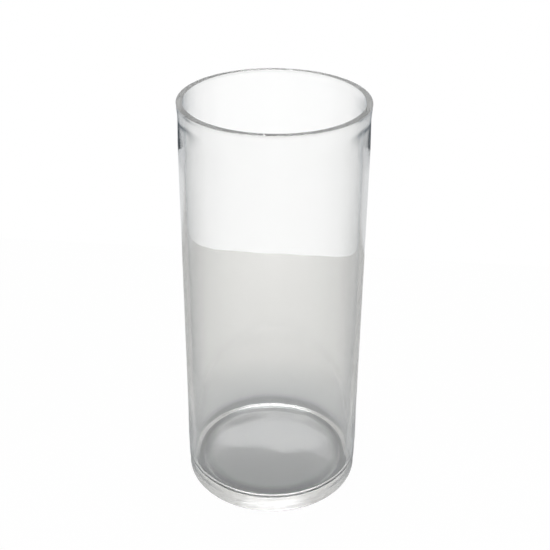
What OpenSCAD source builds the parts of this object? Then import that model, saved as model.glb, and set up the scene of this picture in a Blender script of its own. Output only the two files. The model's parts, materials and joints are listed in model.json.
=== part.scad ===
// Glass cylinder vase: a straight clear tube fused onto a thick glass base with a coved floor.
// Millimetres. The origin is at the centre of the resting plane, and +Z runs up to the mouth.

/* [Cylinder] */
// Height from the resting plane to the top of the lip
vase_h = 300; // [200:5:400]
// Largest outside diameter, at the slight swell above the base
vase_d = 130; // [100:1:160]
// Thickness of the straight wall
wall_t = 4.3; // [3:0.1:6]
// How far the straight wall stands inside the largest radius
wall_inset = 0.3; // [0:0.1:0.6]
// Height of the middle of the swell above the resting plane
swell_z = 30; // [26:1:40]
// Height at which the wall becomes straight
straight_z = 60; // [50:1:80]

/* [Lip] */
// Radius of the fire-polished rounding on both edges of the flat lip
lip_round = 0.6; // [0.3:0.1:1.4]
// How far the lip stands inside the largest radius
lip_inset = 0.2; // [0:0.1:0.6]
// How far the neck under the lip stands inside the largest radius
neck_inset = 0.8; // [0.3:0.1:1.2]
// Distance from the top of the lip down to the middle of the neck
neck_drop = 10; // [6:1:16]
// Distance from the top of the lip down to the straight wall
neck_end_drop = 36; // [24:1:50]

/* [Base] */
// Thickness of the glass floor beside its cove
floor_t = 9.5; // [7:0.5:14]
// Radius of the cove between the floor and the wall
cove_r = 8; // [4:0.5:9]
// How far the fused seam stands inside the largest radius
seam_inset = 0.2; // [0:0.1:0.6]
// Height of the shoulder where the side reaches the seam's radius
shoulder_z = 13.5; // [11:0.5:14]
// How far the waist below the seam stands inside the largest radius
waist_inset = 0.9; // [0.5:0.1:1.5]
// Height of the waist above the resting plane
waist_z = 6; // [4:0.5:7]
// How far the foot stands inside the largest radius
foot_inset = 0.6; // [0:0.1:1]
// Radius of the rounded heel
heel_r = 3; // [0.5:0.1:3.5]
// Width of the flat ring that the vase rests on
ring_w = 6; // [3:0.5:10]
// Depth of the shallow hollow under the base
punt_depth = 0.5; // [0.3:0.1:3]

/* [Hidden] */
$fn = 128;

max_r = vase_d / 2;
bore_r = max_r - wall_inset - wall_t;
lip_r = max_r - lip_inset;
seam_z = floor_t + cove_r;
foot_r = max_r - foot_inset;
ring_out_r = foot_r - heel_r;
punt_r = ring_out_r - ring_w;
punt_sphere_r = (punt_r * punt_r + punt_depth * punt_depth) / (2 * punt_depth);

// Points per blend and per rounded edge
blend_steps = 8;
round_steps = 8;

// Outside of the tube from the seam up to the lip, as [height, inset from the largest radius]
tube_stations = [
    [seam_z, seam_inset],
    [swell_z, 0],
    [straight_z, wall_inset],
    [vase_h - neck_end_drop, wall_inset],
    [vase_h - neck_drop, neck_inset],
    [vase_h - lip_round, lip_inset],
];

// Outside of the base from the heel up to the seam, in the same form
base_stations = [
    [heel_r, foot_inset],
    [waist_z, waist_inset],
    [shoulder_z, seam_inset],
    [seam_z, seam_inset],
];

// Points [radius, height] on an arc about [cx, cz], turning from angle a0 to angle a1
function arc(cx, cz, r, a0, a1) =
    [for (i = [0:round_steps]) let (a = a0 + (a1 - a0) * i / round_steps) [cx + r * cos(a), cz + r * sin(a)]];

// Points [radius, height] from station p to station q on half a cosine wave, without q itself
function blend(p, q) =
    p[1] == q[1] ? [[max_r - p[1], p[0]]] :
    [for (i = [0:blend_steps - 1]) let (t = i / blend_steps)
        [max_r - p[1] - (q[1] - p[1]) * (1 - cos(180 * t)) / 2, p[0] + (q[0] - p[0]) * t]];

// Points through every station in turn, without the last one
function outline(stations) =
    [for (k = [0:len(stations) - 2]) each blend(stations[k], stations[k + 1])];

// The shallow dome of the hollow under the base, from the axis out to the resting ring
function punt_curve() =
    [for (i = [0:round_steps]) let (r = punt_r * i / round_steps)
        [r, punt_depth - punt_sphere_r + sqrt(punt_sphere_r * punt_sphere_r - r * r)]];

// The straight tube with its neck and its flat lip; it stands on the base's upper edge
module glass_cylinder() {
    color([0.90, 0.95, 0.94, 0.35])
    rotate_extrude()
    polygon(concat(
        [[bore_r, seam_z]],
        outline(tube_stations),
        arc(lip_r - lip_round, vase_h - lip_round, lip_round, 0, 90),
        arc(bore_r + lip_round, vase_h - lip_round, lip_round, 90, 180)
    ));
}

// The thick base: flat floor with a cove, waisted side, rounded heel and hollowed underside
module glass_base() {
    color([0.86, 0.92, 0.90, 0.5])
    rotate_extrude()
    polygon(concat(
        punt_curve(),
        arc(ring_out_r, heel_r, heel_r, -90, 0),
        outline(base_stations),
        [[max_r - seam_inset, seam_z]],
        arc(bore_r - cove_r, seam_z, cove_r, 0, -90),
        [[0, floor_t]]
    ));
}

glass_cylinder();
glass_base();
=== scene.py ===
"""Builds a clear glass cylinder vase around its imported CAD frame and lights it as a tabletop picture.

The vase is two pieces of glass, a straight tube and the thick base it is fused onto. Each piece is a
surface of revolution worked out with numpy from the frame's own sizes, with the slight ripple of
drawn glass laid over its inner face. Lengths are in metres unless a name says otherwise.
"""

import json
import logging
import math
from dataclasses import dataclass
from enum import Enum

import bpy
import numpy as np
from mathutils import Matrix, Vector


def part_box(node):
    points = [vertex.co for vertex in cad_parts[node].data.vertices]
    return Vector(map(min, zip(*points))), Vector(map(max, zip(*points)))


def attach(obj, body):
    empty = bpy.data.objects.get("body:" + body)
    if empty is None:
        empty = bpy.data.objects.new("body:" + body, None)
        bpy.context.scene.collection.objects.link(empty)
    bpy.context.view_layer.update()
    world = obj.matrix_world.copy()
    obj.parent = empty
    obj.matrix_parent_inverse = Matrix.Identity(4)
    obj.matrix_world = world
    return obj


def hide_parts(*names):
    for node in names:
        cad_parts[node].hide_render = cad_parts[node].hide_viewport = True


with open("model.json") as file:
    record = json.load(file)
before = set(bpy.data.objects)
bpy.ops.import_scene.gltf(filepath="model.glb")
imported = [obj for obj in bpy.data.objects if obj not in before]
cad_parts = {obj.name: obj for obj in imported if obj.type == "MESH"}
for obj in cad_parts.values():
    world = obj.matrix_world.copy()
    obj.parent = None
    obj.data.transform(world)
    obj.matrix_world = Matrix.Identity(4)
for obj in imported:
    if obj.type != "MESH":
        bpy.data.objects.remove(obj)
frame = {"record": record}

LOG = logging.getLogger("vase")
MM = 0.001
SHARP_EDGE_DEG = 40.0
# Heights or radii closer together than this are the same.
SAME_PLACE = 1e-7
# Light can be reflected many times inside the wall before it leaves the glass.
LIGHT_BOUNCES = 128
# Distances are multiplied by these on their way into a colour ramp, which runs from 0 to 1.
RAMP_PER_METRE_OF_HEIGHT = 3.0
RAMP_PER_METRE_OF_TABLE = 5.0


class Node(Enum):
    """The CAD nodes that the glass pieces stand for."""

    CYLINDER = "glass_cylinder"
    BASE = "glass_base"


class Closing(Enum):
    """How a profile is closed when it is turned about the axis."""

    LOOP = "the last point joins the first"
    POLES = "both ends meet the axis"


# ----------------------------------------------------------------------------------------------
# Sizes and finishes
# ----------------------------------------------------------------------------------------------


@dataclass(frozen=True)
class VaseSizes:
    """Driving sizes of the vase. The first four come from the frame, the rest repeat the CAD design."""

    height: float
    seam_z: float
    max_radius: float
    bore_radius: float
    wall_inset: float = 0.3 * MM
    swell_z: float = 30 * MM
    straight_z: float = 60 * MM
    lip_inset: float = 0.2 * MM
    lip_round: float = 0.6 * MM
    neck_inset: float = 0.8 * MM
    neck_drop: float = 10 * MM
    neck_end_drop: float = 36 * MM
    seam_inset: float = 0.2 * MM
    shoulder_z: float = 13.5 * MM
    waist_inset: float = 0.9 * MM
    waist_z: float = 6.0 * MM
    foot_inset: float = 0.6 * MM
    heel_round: float = 3.0 * MM
    cove_radius: float = 8.0 * MM
    ring_width: float = 6.0 * MM
    punt_depth: float = 0.5 * MM

    @classmethod
    def from_frame(cls) -> "VaseSizes":
        """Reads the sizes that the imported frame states.

        Returns:
            The vase's sizes, in metres.
        """
        tube_low, tube_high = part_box(Node.CYLINDER.value)
        bore = next(mount for mount in frame["record"]["mounts"] if mount["name"] == "vase_bore")
        return cls(
            height=tube_high.z,
            seam_z=tube_low.z,
            max_radius=max(tube_high.x, -tube_low.x),
            bore_radius=bore["dims"]["r_mm"] * MM,
        )

    @property
    def floor_z(self) -> float:
        """Height of the inner floor, which the cove joins to the wall at the seam's height."""
        return self.seam_z - self.cove_radius


@dataclass(frozen=True)
class GlassFinish:
    """Clear soda-lime glass: how it bends light, its painted shade towards grazing, and its small flaws.

    The tint and painted edge shade gives a colour for each facing value, from 0 straight on to 1 at grazing:
    the glass's own faint tint straight on, and painted shade that darkens it towards grazing. The painted
    shade by height gives a share of the light for each height, and it greys only what lies past the painted
    shade radius.
    """

    name: str
    # Painted shade by height that greys the lip and the foot.
    painted_shade_by_height: tuple[tuple[float, float], ...]
    painted_shade_radius: float = 58.0 * MM
    painted_shade_fade: float = 4.0 * MM
    ior: float = 1.517
    # The glass's own faint tint straight on, and painted shade that darkens it towards grazing.
    tint_and_painted_edge_shade: tuple[tuple[float, tuple[float, float, float]], ...] = (
        (0.0, (0.985, 0.987, 0.985)),
        (0.5, (0.97, 0.975, 0.975)),
        (0.75, (0.76, 0.78, 0.79)),
        (0.9, (0.32, 0.35, 0.38)),
        (1.0, (0.15, 0.18, 0.21)),
    )
    haze_low: float = 0.0
    haze_high: float = 0.02
    haze_scale: float = 30.0
    haze_noise: tuple[float, float] = (0.45, 0.8)
    scuff: float = 0.12
    scuff_top: float = 2.6 * MM
    scuff_fade_share: float = 0.6
    ripple_scale: float = 38.0
    ripple_strength: float = 0.05
    ripple_height: float = 1.0 * MM

    @classmethod
    def for_cylinder(cls, sizes: VaseSizes) -> "GlassFinish":
        """Gives the tube's finish, with painted shade that greys the lip a little."""
        top = sizes.height
        return cls("cylinder_glass", ((top - 2.0 * MM, 1.0), (top - 0.8 * MM, 0.8)))

    @classmethod
    def for_base(cls, sizes: VaseSizes) -> "GlassFinish":
        """Gives the base's finish, with painted shade that greys the foot a little up to its shoulder."""
        return cls("base_glass", ((0.2 * MM, 1.0), (1.5 * MM, 0.80), (13.0 * MM, 0.84), (sizes.seam_z, 1.0)))


# ----------------------------------------------------------------------------------------------
# Surfaces of revolution
# ----------------------------------------------------------------------------------------------


def eased(heights: np.ndarray, stations: np.ndarray) -> np.ndarray:
    """Carries a value smoothly through a few stations.

    Between two stations the value runs along half a cosine wave: it is the first value plus the
    difference times (1 - cos(pi t)) / 2, where t runs from 0 to 1 with height.

    Args:
        heights: Heights at which the value is wanted.
        stations: Rows of (height, value), in rising height.

    Returns:
        The value at each height.
    """
    index = np.clip(np.searchsorted(stations[:, 0], heights, side="right") - 1, 0, len(stations) - 2)
    low, high = stations[index], stations[index + 1]
    t = np.clip((heights - low[:, 0]) / (high[:, 0] - low[:, 0]), 0.0, 1.0)
    return low[:, 1] + (high[:, 1] - low[:, 1]) * (1.0 - np.cos(np.pi * t)) / 2.0


def arc(centre: tuple[float, float], radius: float, start: float, end: float, steps: int) -> np.ndarray:
    """Points of a circular arc: centre plus radius times (cos a, sin a), with a in equal steps.

    Args:
        centre: Radius and height of the arc's centre.
        radius: Radius of the arc.
        start: First angle in degrees, 0 pointing outwards and 90 up.
        end: Last angle in degrees.
        steps: Number of steps along the arc.

    Returns:
        Rows of (radius, height), both ends included.
    """
    angles = np.radians(np.linspace(start, end, steps + 1))
    return np.column_stack((centre[0] + radius * np.cos(angles), centre[1] + radius * np.sin(angles)))


def ripple(angles: np.ndarray, heights: np.ndarray, depth: float) -> np.ndarray:
    """Unevenness of drawn glass, as a change of radius.

    It is a sum of five waves round the axis, each drifting slowly with height: depth / k times
    sin(n a + q z + p), with wave counts n and drifts q that don't repeat over the vase's height.

    Args:
        angles: Column of angles round the axis, in radians.
        heights: Row of heights along the profile.
        depth: Depth of the strongest wave.

    Returns:
        A grid of radius changes, one row per angle.
    """
    waves = (
        (2, 7.0, 0.3, 1.0),
        (3, -11.0, 1.9, 1.4),
        (5, 19.0, 4.1, 2.2),
        (9, -31.0, 2.6, 4.0),
        (14, 43.0, 5.2, 7.0),
    )
    total = np.zeros((angles.shape[0], heights.shape[1]))
    for count, drift, phase, divisor in waves:
        total += np.sin(count * angles + drift * heights + phase) / divisor
    return depth * total


def unevenness(across: np.ndarray, along: np.ndarray, depth: float) -> np.ndarray:
    """Unevenness of a floor that settled while hot, as a change of height.

    It is a sum of four long waves that cross at different angles: depth times share times
    sin(2 pi (x cos b + y sin b) / length + phase), where b is a wave's bearing.

    Args:
        across: Places across the floor, the x in the formula.
        along: Places along it, the y.
        depth: Depth of the strongest wave.

    Returns:
        The height change at each place.
    """
    waves = (
        (0.020, 0.062, 1.00, 0.4),
        (1.15, 0.045, 0.60, 2.1),
        (2.30, 0.034, 0.35, 4.4),
        (0.62, 0.023, 0.18, 1.2),
    )
    total = np.zeros(np.broadcast(across, along).shape)
    for bearing, length, share, phase in waves:
        run = across * math.cos(bearing) + along * math.sin(bearing)
        total += share * np.sin(2.0 * np.pi * run / length + phase)
    return depth * total


def turned_mesh(
    name: str, radii: np.ndarray, heights: np.ndarray, closing: Closing, seam_z: float
) -> bpy.types.Mesh:
    """Turns a profile about the axis into a closed mesh whose faces point outwards.

    A point is (r cos a, r sin a, z), where a goes once round the axis along the grid's rows and
    (r, z) follows the profile along its columns, anticlockwise round the glass.

    Args:
        name: Name of the mesh.
        radii: Grid of radii, one row per angle and one column per profile point.
        heights: Height of each profile point, either one row or one row per angle.
        closing: Whether the profile is a loop or runs from pole to pole on the axis.
        seam_z: Height of the seam. Faces that lie in it take the second material.

    Returns:
        The mesh, smooth except along edges that turn sharply.
    """
    turns, points = radii.shape
    angles = np.linspace(0.0, 2.0 * np.pi, turns, endpoint=False)[:, None]
    levels = np.broadcast_to(heights, radii.shape)
    grid = np.stack((radii * np.cos(angles), radii * np.sin(angles), levels), axis=-1)
    ids = np.arange(turns * points).reshape(turns, points)
    after = np.roll(ids, -1, axis=0)
    if closing is Closing.LOOP:
        here, there = (ids, after), (np.roll(ids, -1, axis=1), np.roll(after, -1, axis=1))
    else:
        here, there = (ids[:, :-1], after[:, :-1]), (ids[:, 1:], after[:, 1:])
    quads = np.stack((here[0], here[1], there[1], there[0]), axis=-1).reshape(-1, 4)
    vertices, faces = grid.reshape(-1, 3), quads.tolist()
    in_seam = np.isclose(vertices[quads][:, :, 2], seam_z, rtol=0.0, atol=SAME_PLACE).all(axis=1)
    if closing is Closing.POLES:
        first, last = len(vertices), len(vertices) + 1
        poles = np.zeros((2, 3))
        poles[:, 2] = grid[:, 0, 2].mean(), grid[:, -1, 2].mean()
        vertices = np.vstack((vertices, poles))
        faces += np.column_stack((np.full(turns, first), after[:, 0], ids[:, 0])).tolist()
        faces += np.column_stack((np.full(turns, last), ids[:, -1], after[:, -1])).tolist()
    mesh = bpy.data.meshes.new(name)
    mesh.from_pydata(vertices.tolist(), [], faces)
    mesh.polygons.foreach_set("use_smooth", np.ones(len(faces), dtype=bool))
    second = np.zeros(len(faces), dtype=np.int32)
    second[: len(quads)] = in_seam
    mesh.set_sharp_from_angle(angle=math.radians(SHARP_EDGE_DEG))
    mesh.polygons.foreach_set("material_index", second)
    mesh.validate()
    return mesh


def add_piece(
    name: str, mesh: bpy.types.Mesh, node: Node, glass: bpy.types.Material, seam: bpy.types.Material
) -> bpy.types.Object:
    """Adds a glass piece that stands for a CAD node and rides on the vase's one body.

    Args:
        name: Name of the piece.
        mesh: Its finished mesh, in place.
        node: The CAD node it stands for.
        glass: Material of its skin.
        seam: Material of the faces where it is fused to the other piece.

    Returns:
        The new object.
    """
    piece = bpy.data.objects.new(name, mesh)
    bpy.context.scene.collection.objects.link(piece)
    mesh.materials.append(glass)
    mesh.materials.append(seam)
    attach(piece, "root")
    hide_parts(node.value)
    LOG.info("%s: %d faces, stands for %s", name, len(mesh.polygons), node.value)
    return piece


# ----------------------------------------------------------------------------------------------
# Glass
# ----------------------------------------------------------------------------------------------


class NodeKit:
    """Short ways to add and join the nodes of one node tree."""

    def __init__(self, tree: bpy.types.NodeTree) -> None:
        """Takes an empty node tree."""
        self.tree = tree
        self.tree.nodes.clear()

    def add(self, kind: str, **settings: object) -> bpy.types.Node:
        """Adds a node.

        Args:
            kind: The node's type.
            settings: Values for its inputs, by name with spaces as underscores, or its own fields.

        Returns:
            The new node.
        """
        node = self.tree.nodes.new(kind)
        for key, value in settings.items():
            socket = node.inputs.get(key.replace("_", " "))
            if socket is not None:
                socket.default_value = value
            else:
                setattr(node, key, value)
        return node

    def join(self, source: bpy.types.NodeSocket, target: bpy.types.NodeSocket) -> None:
        """Links two sockets."""
        self.tree.links.new(source, target)

    def blend(
        self,
        kind: str,
        factor: bpy.types.NodeSocket | float,
        first: bpy.types.NodeSocket | tuple[float, float, float, float],
        second: bpy.types.NodeSocket | tuple[float, float, float, float],
    ) -> bpy.types.NodeSocket:
        """Blends two colours.

        Args:
            kind: How they blend, such as MIX or ADD.
            factor: How much of the second, as a socket or a number.
            first: The first colour, as a socket or a value.
            second: The second colour, in the same form.

        Returns:
            The socket that carries the blended colour.
        """
        node = self.tree.nodes.new("ShaderNodeMix")
        node.data_type, node.blend_type = "RGBA", kind
        sockets = {socket.identifier: socket for socket in node.inputs}
        for name, value in (("Factor_Float", factor), ("A_Color", first), ("B_Color", second)):
            if isinstance(value, bpy.types.NodeSocket):
                self.join(value, sockets[name])
            else:
                sockets[name].default_value = value
        return next(socket for socket in node.outputs if socket.identifier == "Result_Color")

    def math(
        self, operation: str, first: bpy.types.NodeSocket, second: bpy.types.NodeSocket | float = 0.0
    ) -> bpy.types.NodeSocket:
        """Works out one number from one or two others.

        Args:
            operation: The operation's name.
            first: The first number.
            second: The second, as a socket or a value.

        Returns:
            The socket that carries the result.
        """
        node = self.add("ShaderNodeMath", operation=operation)
        self.join(first, node.inputs[0])
        if isinstance(second, bpy.types.NodeSocket):
            self.join(second, node.inputs[1])
        else:
            node.inputs[1].default_value = second
        return node.outputs["Value"]

    def fade(self, value: bpy.types.NodeSocket, start: float, end: float) -> bpy.types.NodeSocket:
        """Rises smoothly from 0 to 1 as an angle goes from a start to an end.

        Args:
            value: The angle, in radians.
            start: Angle in degrees at which the result is 0.
            end: Angle in degrees at which it is 1, either above or below the start.

        Returns:
            The socket that carries the result.
        """
        node = self.add("ShaderNodeMapRange", interpolation_type="SMOOTHSTEP")
        node.inputs["From Min"].default_value = math.radians(start)
        node.inputs["From Max"].default_value = math.radians(end)
        self.join(value, node.inputs["Value"])
        return node.outputs["Result"]

    def ramp(self, stops: list[tuple[float, tuple[float, float, float, float]]]) -> bpy.types.Node:
        """Adds a colour ramp.

        Args:
            stops: Positions from 0 to 1 with their colours.

        Returns:
            The new node.
        """
        node = self.tree.nodes.new("ShaderNodeValToRGB")
        elements = node.color_ramp.elements
        while len(elements) < len(stops):
            elements.new(0.5)
        for element, (position, colour) in zip(elements, stops):
            element.position = position
            element.color = colour
        return node

    def grey_ramp(self, stops: tuple[tuple[float, float], ...], scale: float) -> bpy.types.Node:
        """Adds a ramp of greys, with its positions multiplied by a scale."""
        return self.ramp([(place * scale, (grey, grey, grey, 1.0)) for place, grey in stops])


def glass_material(finish: GlassFinish) -> bpy.types.Material:
    """Makes a clear glass with painted shade at grazing angles, with slow ripples, haze and a scuffed foot.

    The outer skin, past the finish's painted shade radius, takes painted shade by height, for the lip and
    the foot.

    Args:
        finish: The glass's values.

    Returns:
        The material.
    """
    material = bpy.data.materials.new(finish.name)
    material.use_nodes = True
    kit = NodeKit(material.node_tree)
    output = kit.add("ShaderNodeOutputMaterial")
    shader = kit.add("ShaderNodeBsdfPrincipled", Transmission_Weight=1.0, IOR=finish.ior)
    facing = kit.add("ShaderNodeLayerWeight", Blend=0.5)
    # Painted shade: the glass's colour darkens towards grazing, standing in for dark surroundings seen in
    # its edges.
    edge = kit.ramp([(grazing, (*colour, 1.0)) for grazing, colour in finish.tint_and_painted_edge_shade])
    kit.join(facing.outputs["Facing"], edge.inputs["Fac"])
    place = kit.add("ShaderNodeTexCoord")
    haze = kit.add("ShaderNodeTexNoise", Scale=finish.haze_scale, Detail=4.0, Roughness=0.6)
    haze_from, haze_to = finish.haze_noise
    spread = kit.add("ShaderNodeMapRange", From_Min=haze_from, From_Max=haze_to)
    spread.inputs["To Min"].default_value = finish.haze_low
    spread.inputs["To Max"].default_value = finish.haze_high
    waves = kit.add("ShaderNodeTexNoise", Scale=finish.ripple_scale, Detail=1.0, Roughness=0.3)
    bump = kit.add("ShaderNodeBump", Strength=finish.ripple_strength, Distance=finish.ripple_height)
    kit.join(place.outputs["Object"], haze.inputs["Vector"])
    kit.join(haze.outputs["Fac"], spread.inputs["Value"])
    parts = kit.add("ShaderNodeSeparateXYZ")
    scuffed_below = finish.scuff_fade_share * finish.scuff_top
    worn = kit.add("ShaderNodeMapRange", From_Min=finish.scuff_top, From_Max=scuffed_below)
    worn.inputs["To Max"].default_value = finish.scuff
    kit.join(place.outputs["Object"], parts.inputs["Vector"])
    kit.join(parts.outputs["Z"], worn.inputs["Value"])
    # Painted shade: a grey by height that darkens the lip and the foot past the painted shade radius.
    painted_shade_ramp = kit.grey_ramp(finish.painted_shade_by_height, RAMP_PER_METRE_OF_HEIGHT)
    kit.join(kit.math("MULTIPLY", parts.outputs["Z"], RAMP_PER_METRE_OF_HEIGHT), painted_shade_ramp.inputs["Fac"])
    flat = kit.add("ShaderNodeVectorMath", operation="MULTIPLY")
    flat.inputs[1].default_value = (1.0, 1.0, 0.0)
    radius = kit.add("ShaderNodeVectorMath", operation="LENGTH")
    outer = kit.add("ShaderNodeMapRange", From_Max=finish.painted_shade_radius)
    outer.inputs["From Min"].default_value = finish.painted_shade_radius - finish.painted_shade_fade
    kit.join(place.outputs["Object"], flat.inputs[0])
    kit.join(flat.outputs["Vector"], radius.inputs[0])
    kit.join(radius.outputs["Value"], outer.inputs["Value"])
    tint_with_painted_shade = kit.blend("MULTIPLY", outer.outputs["Result"], edge.outputs["Color"], painted_shade_ramp.outputs["Color"])
    kit.join(tint_with_painted_shade, shader.inputs["Base Color"])
    kit.join(kit.math("ADD", spread.outputs["Result"], worn.outputs["Result"]), shader.inputs["Roughness"])
    kit.join(place.outputs["Object"], waves.inputs["Vector"])
    kit.join(waves.outputs["Fac"], bump.inputs["Height"])
    kit.join(bump.outputs["Normal"], shader.inputs["Normal"])
    kit.join(shader.outputs["BSDF"], output.inputs["Surface"])
    return material


def seam_material() -> bpy.types.Material:
    """Makes the stand-in for glass fused to glass: a face that light passes without bending.

    Returns:
        The material.
    """
    material = bpy.data.materials.new("fused_seam")
    material.use_nodes = True
    kit = NodeKit(material.node_tree)
    output = kit.add("ShaderNodeOutputMaterial")
    shader = kit.add("ShaderNodeBsdfPrincipled", Alpha=0.0)
    kit.join(shader.outputs["BSDF"], output.inputs["Surface"])
    return material


@dataclass(frozen=True)
class GlassCylinder:
    """The straight tube of the vase: open at both ends, with a flat lip and a slightly drawn-in neck."""

    sizes: VaseSizes
    finish: GlassFinish
    seam: bpy.types.Material
    turns: int = 360
    side_points: int = 90
    lip_steps: int = 14
    bore_points: int = 40
    ripple_depth: float = 0.06 * MM

    def profile(self) -> np.ndarray:
        """Outline of the wall, anticlockwise: up the outside, over the lip, down the bore and back.

        Returns:
            Rows of (radius, height).
        """
        s = self.sizes
        stations = np.array(
            [
                (s.seam_z, s.seam_inset),
                (s.swell_z, 0.0),
                (s.straight_z, s.wall_inset),
                (s.height - s.neck_end_drop, s.wall_inset),
                (s.height - s.neck_drop, s.neck_inset),
                (s.height - s.lip_round, s.lip_inset),
            ]
        )
        lip_z = s.height - s.lip_round
        rise = np.linspace(s.seam_z, lip_z, self.side_points)[:-1]
        outside = np.column_stack((s.max_radius - eased(rise, stations), rise))
        outer_centre = (s.max_radius - s.lip_inset - s.lip_round, lip_z)
        inner_centre = (s.bore_radius + s.lip_round, lip_z)
        lip_outer = arc(outer_centre, s.lip_round, 0, 90, self.lip_steps)
        lip_inner = arc(inner_centre, s.lip_round, 90, 180, self.lip_steps)
        fall = np.linspace(lip_z, s.seam_z, self.bore_points)[1:]
        inside = np.column_stack((np.full_like(fall, s.bore_radius), fall))
        return np.vstack((outside, lip_outer, lip_inner, inside))

    def mesh(self) -> bpy.types.Mesh:
        """Turns the outline about the axis and lays the ripple over the bore, fading at both ends.

        The ripple is multiplied by the square root of a half sine wave that runs from the seam to the lip.

        Returns:
            The tube's mesh.
        """
        s = self.sizes
        outline = self.profile()
        angles = np.linspace(0.0, 2.0 * np.pi, self.turns, endpoint=False)[:, None]
        heights = outline[None, :, 1]
        on_bore = np.isclose(outline[:, 0], s.bore_radius, atol=SAME_PLACE)
        fade = np.sin(np.pi * np.clip((outline[:, 1] - s.seam_z) / (s.height - s.seam_z), 0.0, 1.0)) ** 0.5
        radii = outline[None, :, 0] + ripple(angles, heights, self.ripple_depth) * (fade * on_bore)[None, :]
        return turned_mesh("vase_cylinder", radii, outline[:, 1], Closing.LOOP, s.seam_z)

    def build(self) -> bpy.types.Object:
        """Makes the tube as a finished piece."""
        glass = glass_material(self.finish)
        return add_piece("vase_cylinder", self.mesh(), Node.CYLINDER, glass, self.seam)


@dataclass(frozen=True)
class GlassBase:
    """The thick base: floor with a cove, waisted side, rounded heel and a shallow hollow underneath."""

    sizes: VaseSizes
    finish: GlassFinish
    seam: bpy.types.Material
    turns: int = 360
    punt_points: int = 40
    punt_first_share: float = 0.02
    ring_points: int = 8
    heel_steps: int = 12
    side_points: int = 36
    cove_steps: int = 28
    floor_points: int = 40
    floor_depth: float = 0.05 * MM
    floor_fade_share: float = 0.25

    def profile(self) -> np.ndarray:
        """Outline from the axis below, out to the foot, up the side, over the seam and in to the axis.

        The hollow underneath is a shallow bowl: its height is the depth times one minus the square
        of the distance from the axis, as a share of the bowl's radius.

        Returns:
            Rows of (radius, height).
        """
        s = self.sizes
        ring_radius = s.max_radius - s.foot_inset - s.heel_round
        punt_radius = ring_radius - s.ring_width
        share = np.linspace(self.punt_first_share, 1.0, self.punt_points)
        punt = np.column_stack((punt_radius * share, s.punt_depth * (1.0 - share**2)))
        across_ring = np.linspace(punt_radius, ring_radius, self.ring_points)[1:-1]
        ring = np.column_stack((across_ring, np.zeros_like(across_ring)))
        heel = arc((ring_radius, s.heel_round), s.heel_round, -90, 0, self.heel_steps)
        stations = np.array(
            [
                (s.heel_round, s.foot_inset),
                (s.waist_z, s.waist_inset),
                (s.shoulder_z, s.seam_inset),
                (s.seam_z, s.seam_inset),
            ]
        )
        rise = np.linspace(s.heel_round, s.seam_z, self.side_points)[1:]
        side = np.column_stack((s.max_radius - eased(rise, stations), rise))
        flat_radius = s.bore_radius - s.cove_radius
        cove = arc((flat_radius, s.seam_z), s.cove_radius, 0, -90, self.cove_steps)
        inwards = np.linspace(flat_radius, 0.0, self.floor_points)[1:-1]
        floor = np.column_stack((inwards, np.full_like(inwards, s.floor_z)))
        return np.vstack((punt, ring, heel, side, cove, floor))

    def mesh(self) -> bpy.types.Mesh:
        """Turns the outline about the axis and lets the floor undulate a little, fading at the cove.

        The undulation falls evenly to nothing over the outer part of the flat floor, whose width is
        the fade share times the flat floor's radius.

        Returns:
            The base's mesh.
        """
        outline = self.profile()
        radii = np.broadcast_to(outline[:, 0], (self.turns, len(outline)))
        angles = np.linspace(0.0, 2.0 * np.pi, self.turns, endpoint=False)[:, None]
        flat_radius = self.sizes.bore_radius - self.sizes.cove_radius
        on_floor = np.isclose(outline[:, 1], self.sizes.floor_z, atol=SAME_PLACE)
        from_rim = (1.0 - outline[:, 0] / flat_radius) / self.floor_fade_share
        fade = on_floor * np.clip(from_rim, 0.0, 1.0)
        swell = unevenness(radii * np.cos(angles), radii * np.sin(angles), self.floor_depth)
        heights = outline[None, :, 1] + swell * fade[None, :]
        return turned_mesh("vase_base", radii, heights, Closing.POLES, self.sizes.seam_z)

    def build(self) -> bpy.types.Object:
        """Makes the base as a finished piece."""
        glass = glass_material(self.finish)
        return add_piece("vase_base", self.mesh(), Node.BASE, glass, self.seam)


# ----------------------------------------------------------------------------------------------
# Studio
# ----------------------------------------------------------------------------------------------


@dataclass(frozen=True)
class SoftLight:
    """A rectangular soft light aimed at a point, not itself visible."""

    name: str
    place: tuple[float, float, float]
    aim: tuple[float, float, float]
    width: float
    depth: float
    watts: float
    colour: tuple[float, float, float] = (1.0, 1.0, 1.0)

    def build(self) -> bpy.types.Object:
        """Adds the light to the scene.

        Returns:
            The light's object.
        """
        data = bpy.data.lights.new(self.name, "AREA")
        data.shape = "RECTANGLE"
        data.size, data.size_y = self.width, self.depth
        data.energy, data.color = self.watts, self.colour
        light = bpy.data.objects.new(self.name, data)
        bpy.context.scene.collection.objects.link(light)
        light.location = self.place
        direction = Vector(self.aim) - Vector(self.place)
        light.rotation_euler = direction.to_track_quat("-Z", "Y").to_euler()
        light.visible_camera = False
        LOG.info("light %s: %.1f W", self.name, self.watts)
        return light


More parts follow.
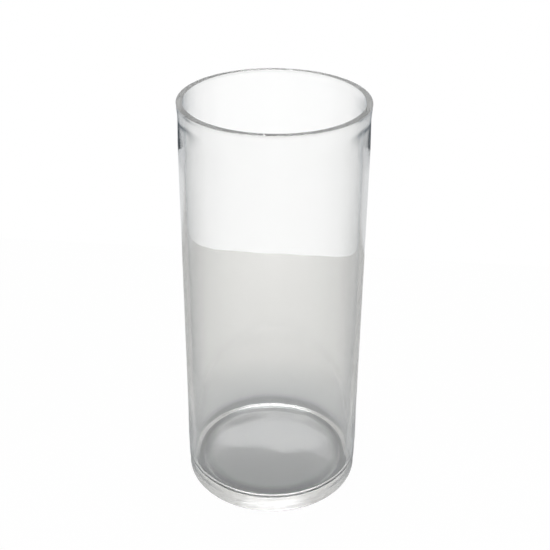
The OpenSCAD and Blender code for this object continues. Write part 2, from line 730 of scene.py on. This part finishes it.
@dataclass(frozen=True)
class Studio:
    """Pale table, white surround and soft lights.

    The table's painted shades go by distance in metres, and the surround's by angle in degrees. A bearing of
    0 is straight behind the vase, and a height of 0 is level. Each pair of angles runs from no effect
    to full effect.
    """

    table_back: float = 0.348
    table_reach: float = 1.6
    table_roll: float = 4.0 * MM
    table_turn_deg: float = 5.4
    table_drop: float = 0.1 * MM
    table_points: int = 12
    roll_points: int = 9
    table_white: float = 0.985
    # Painted shadow: its centre is moved this far behind the vase's axis.
    painted_shadow_shift: float = 0.014
    # Painted shade: the table greys towards its sides, growing from just in front of the vase's axis to
    # behind it.
    painted_side_shade_from_y: float = -0.05
    painted_side_shade_to_y: float = 0.10
    painted_side_shade: tuple[tuple[float, float], ...] = (
        (0.0, 0.97),
        (0.04, 0.93),
        (0.08, 0.84),
        (0.13, 0.74),
        (0.20, 0.70),
    )
    # The table's own grey, with a painted shadow round the vase's foot, set off behind it.
    table_grey_and_painted_shadow: tuple[tuple[float, tuple[float, float, float]], ...] = (
        (0.050, (0.452, 0.46, 0.468)),
        (0.056, (0.252, 0.26, 0.268)),
        (0.064, (0.252, 0.26, 0.268)),
        (0.080, (0.374, 0.38, 0.385)),
        (0.130, (0.462, 0.46, 0.455)),
    )
    overhead: tuple[float, float, float] = (0.86, 0.86 * 0.99, 0.86 * 0.96)
    overhead_heights: tuple[float, float] = (12.0, 28.0)
    rear_softbox: float = 3.1
    rear_lower_edge: tuple[float, float] = (33.0, 36.5)
    rear_upper_edge: tuple[float, float] = (39.6, 38.2)
    rear_side_edge: tuple[float, float] = (20.0, 11.0)
    top_softbox: float = 8.0
    top_edge: tuple[float, float] = (64.0, 70.0)
    lamps_kept_off_table: float = 0.8
    gap_colour: tuple[float, float, float] = (0.08, 0.10, 0.12)
    gap_lower_edge: tuple[float, float] = (-24.0, -21.2)
    gap_upper_edge: tuple[float, float] = (-19.8, -20.6)
    gap_side_edge: tuple[float, float] = (9.0, 18.0)
    sheet: tuple[tuple[float, float], ...] = (
        (0.0, 1.04),
        (4.0, 1.02),
        (8.0, 0.97),
        (15.0, 0.88),
        (25.0, 0.8),
        (36.0, 0.72),
        (48.0, 0.55),
        (60.0, 0.42),
        (82.0, 0.38),
        (120.0, 0.5),
        (180.0, 0.62),
    )

    def table(self) -> bpy.types.Object:
        """Adds the table top: a flat sheet whose back edge rolls over in a quarter circle.

        Along the sheet's length y runs to the back edge, and past it the surface follows
        y = edge + r sin a, z = -r (1 - cos a), with a from 0 to 90 degrees.

        Returns:
            The table's object.
        """
        roll = self.table_roll
        a = np.radians(np.linspace(0.0, 90.0, self.roll_points))
        flat = np.linspace(-self.table_reach, self.table_back - roll, self.table_points)
        y = np.concatenate((flat, self.table_back - roll + roll * np.sin(a[1:])))
        z = np.concatenate((np.zeros_like(flat), -roll * (1.0 - np.cos(a[1:])))) - self.table_drop
        x = np.linspace(-self.table_reach, self.table_reach, self.table_points)
        turn = math.radians(self.table_turn_deg)
        gx, gy = np.meshgrid(x, y, indexing="ij")
        turned_x = gx * math.cos(turn) + gy * math.sin(turn)
        turned_y = gy * math.cos(turn) - gx * math.sin(turn)
        points = np.stack((turned_x, turned_y, np.broadcast_to(z, gx.shape)), axis=-1)
        ids = np.arange(gx.size).reshape(gx.shape)
        quads = np.stack((ids[:-1, :-1], ids[1:, :-1], ids[1:, 1:], ids[:-1, 1:]), axis=-1).reshape(-1, 4)
        mesh = bpy.data.meshes.new("table")
        mesh.from_pydata(points.reshape(-1, 3).tolist(), [], quads.tolist())
        mesh.materials.append(self.table_material())
        table = bpy.data.objects.new("table", mesh)
        bpy.context.scene.collection.objects.link(table)
        LOG.info("table: back edge %.2f m behind the vase's axis", self.table_back)
        return table

    def table_material(self) -> bpy.types.Material:
        """Makes a matt table top with a painted shadow round the foot and painted shade towards its sides,
        which is near white where the camera sees it.

        Returns:
            The material.
        """
        material = bpy.data.materials.new("white_table")
        material.use_nodes = True
        kit = NodeKit(material.node_tree)
        output = kit.add("ShaderNodeOutputMaterial")
        matt = kit.add("ShaderNodeBsdfDiffuse")
        place = kit.add("ShaderNodeTexCoord")
        away = kit.add("ShaderNodeVectorMath", operation="LENGTH")
        centred = kit.add("ShaderNodeVectorMath", operation="SUBTRACT")
        centred.inputs[1].default_value = (0.0, self.painted_shadow_shift, 0.0)
        scale = RAMP_PER_METRE_OF_TABLE
        # Painted shadow round the foot, on top of the table's own grey.
        painted_shadow_ramp = kit.ramp([(radius * scale, (*colour, 1.0)) for radius, colour in self.table_grey_and_painted_shadow])
        parts = kit.add("ShaderNodeSeparateXYZ")
        # Painted shade that greys the table towards its sides, more so behind the vase.
        sides = kit.grey_ramp(self.painted_side_shade, scale)
        kit.join(place.outputs["Object"], centred.inputs[0])
        kit.join(centred.outputs["Vector"], away.inputs[0])
        kit.join(kit.math("MULTIPLY", away.outputs["Value"], scale), painted_shadow_ramp.inputs["Fac"])
        kit.join(place.outputs["Object"], parts.inputs["Vector"])
        behind = kit.add("ShaderNodeMapRange", From_Min=self.painted_side_shade_from_y, From_Max=self.painted_side_shade_to_y)
        behind.inputs["To Max"].default_value = scale
        kit.join(parts.outputs["Y"], behind.inputs["Value"])
        across = kit.math("MULTIPLY", kit.math("ABSOLUTE", parts.outputs["X"]), behind.outputs["Result"])
        kit.join(across, sides.inputs["Fac"])
        # The table's grey times its painted shadow and its painted side shade.
        colour = kit.blend("MULTIPLY", 1.0, painted_shadow_ramp.outputs["Color"], sides.outputs["Color"])
        kit.join(colour, matt.inputs["Color"])
        glow = kit.add("ShaderNodeEmission", Color=(1.0, 1.0, 1.0, 1.0), Strength=1.0)
        path = kit.add("ShaderNodeLightPath")
        seen = kit.math("MULTIPLY", path.outputs["Is Camera Ray"], self.table_white)
        mix = kit.add("ShaderNodeMixShader")
        kit.join(seen, mix.inputs["Fac"])
        kit.join(matt.outputs["BSDF"], mix.inputs[1])
        kit.join(glow.outputs["Emission"], mix.inputs[2])
        kit.join(mix.outputs["Shader"], output.inputs["Surface"])
        return material

    def surround(self) -> None:
        """Sets the world: a sheet behind that dims to the sides, a pale ceiling and two softboxes.

        The camera sees plain white instead, and only light by way of the glass or the table meets the
        rest. A narrow dark gap below the level is what darkens the glass under the lip.
        """
        world = bpy.data.worlds.new("surround")
        bpy.context.scene.world = world
        world.use_nodes = True
        kit = NodeKit(world.node_tree)
        output = kit.add("ShaderNodeOutputWorld")
        place = kit.add("ShaderNodeTexCoord")
        sideways = kit.add("ShaderNodeVectorMath", operation="MULTIPLY")
        sideways.inputs[1].default_value = (1.0, 1.0, 0.0)
        flat = kit.add("ShaderNodeVectorMath", operation="NORMALIZE")
        flat_parts = kit.add("ShaderNodeSeparateXYZ")
        parts = kit.add("ShaderNodeSeparateXYZ")
        kit.join(place.outputs["Generated"], sideways.inputs[0])
        kit.join(sideways.outputs["Vector"], flat.inputs[0])
        kit.join(flat.outputs["Vector"], flat_parts.inputs["Vector"])
        kit.join(place.outputs["Generated"], parts.inputs["Vector"])
        path = kit.add("ShaderNodeLightPath")
        bearing = kit.math("ARCCOSINE", flat_parts.outputs["Y"])
        height = kit.math("ARCSINE", parts.outputs["Z"])
        sheet = kit.grey_ramp(self.sheet, 1.0 / 180.0)
        kit.join(kit.math("DIVIDE", bearing, math.pi), sheet.inputs["Fac"])
        gap = kit.math(
            "MULTIPLY", kit.fade(height, *self.gap_lower_edge), kit.fade(height, *self.gap_upper_edge)
        )
        gap = kit.math("MULTIPLY", gap, kit.fade(bearing, *self.gap_side_edge))
        lower = kit.blend("MIX", gap, sheet.outputs["Color"], (*self.gap_colour, 1.0))
        dome = kit.blend("MIX", kit.fade(height, *self.overhead_heights), lower, (*self.overhead, 1.0))
        rear = kit.math(
            "MULTIPLY", kit.fade(height, *self.rear_lower_edge), kit.fade(height, *self.rear_upper_edge)
        )
        rear = kit.math("MULTIPLY", rear, kit.fade(bearing, *self.rear_side_edge))
        top = kit.math("MULTIPLY", kit.fade(height, *self.top_edge), self.top_softbox)
        lamps = kit.math("ADD", kit.math("MULTIPLY", rear, self.rear_softbox), top)
        dimmed = kit.math("MULTIPLY", path.outputs["Is Diffuse Ray"], self.lamps_kept_off_table)
        lamps = kit.math("SUBTRACT", lamps, kit.math("MULTIPLY", lamps, dimmed))
        room = kit.add("ShaderNodeBackground", Strength=1.0)
        kit.join(kit.blend("ADD", 1.0, dome, lamps), room.inputs["Color"])
        paper = kit.add("ShaderNodeBackground", Color=(1.0, 1.0, 1.0, 1.0), Strength=1.0)
        mix = kit.add("ShaderNodeMixShader")
        kit.join(path.outputs["Is Camera Ray"], mix.inputs["Fac"])
        kit.join(room.outputs["Background"], mix.inputs[1])
        kit.join(paper.outputs["Background"], mix.inputs[2])
        kit.join(mix.outputs["Shader"], output.inputs["Surface"])
        LOG.info("surround: rear softbox %.1f, top softbox %.1f", self.rear_softbox, self.top_softbox)

    def lights(self) -> None:
        """Adds a wash of light over the back of the table, which the glass itself doesn't show."""
        wash = SoftLight(
            "table_wash", place=(0.0, 0.50, 0.35), aim=(0.0, 0.30, 0.0), width=0.25, depth=0.25, watts=0.55
        ).build()
        wash.visible_glossy = False
        wash.visible_transmission = False

    def build(self) -> None:
        """Sets up the table, the surround and the lights."""
        self.table()
        self.surround()
        self.lights()


@dataclass(frozen=True)
class Viewpoint:
    """The camera: where it stands round the vase, what it aims at and how it leans."""

    distance: float = 0.7514
    elevation_deg: float = 30.66
    lean_deg: float = 0.49
    lens_mm: float = 67.5
    aim_x: float = 0.0013
    aim_z: float = 0.1673

    def build(self, middle_z: float) -> bpy.types.Object:
        """Adds the camera and makes it the scene's own.

        Args:
            middle_z: Height of the vase's middle, which the distance is measured from.

        Returns:
            The camera.
        """
        elevation = math.radians(self.elevation_deg)
        back, rise = self.distance * math.cos(elevation), self.distance * math.sin(elevation)
        place = Vector((0.0, -back, middle_z + rise))
        forward = (Vector((self.aim_x, 0.0, self.aim_z)) - place).normalized()
        right = forward.cross(Vector((0.0, 0.0, 1.0))).normalized()
        right.rotate(Matrix.Rotation(math.radians(-self.lean_deg), 3, forward))
        up = right.cross(forward)
        data = bpy.data.cameras.new("camera")
        data.lens = self.lens_mm
        data.clip_start = 0.01
        camera = bpy.data.objects.new("camera", data)
        bpy.context.scene.collection.objects.link(camera)
        turn = Matrix((right, up, -forward)).transposed().to_4x4()
        camera.matrix_world = Matrix.Translation(place) @ turn
        bpy.context.scene.camera = camera
        LOG.info("camera: %.2f m away, %.1f degrees above the middle", self.distance, self.elevation_deg)
        return camera


def set_colour_and_light_paths() -> None:
    """Uses plain display colours and lets light bounce down the whole length of the glass wall."""
    scene = bpy.context.scene
    scene.view_settings.view_transform = "Standard"
    scene.cycles.max_bounces = LIGHT_BOUNCES
    scene.cycles.transmission_bounces = LIGHT_BOUNCES
    scene.cycles.glossy_bounces = LIGHT_BOUNCES
    scene.cycles.transparent_max_bounces = LIGHT_BOUNCES
    scene.cycles.use_denoising = True


def main() -> None:
    """Builds the vase, its studio and the camera."""
    logging.basicConfig(level=logging.INFO, format="%(message)s")
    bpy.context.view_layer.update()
    sizes = VaseSizes.from_frame()
    Viewpoint().build(middle_z=sizes.height / 2)
    seam = seam_material()
    GlassCylinder(sizes, GlassFinish.for_cylinder(sizes), seam).build()
    GlassBase(sizes, GlassFinish.for_base(sizes), seam).build()
    Studio().build()
    set_colour_and_light_paths()


if __name__ == "__main__":
    main()
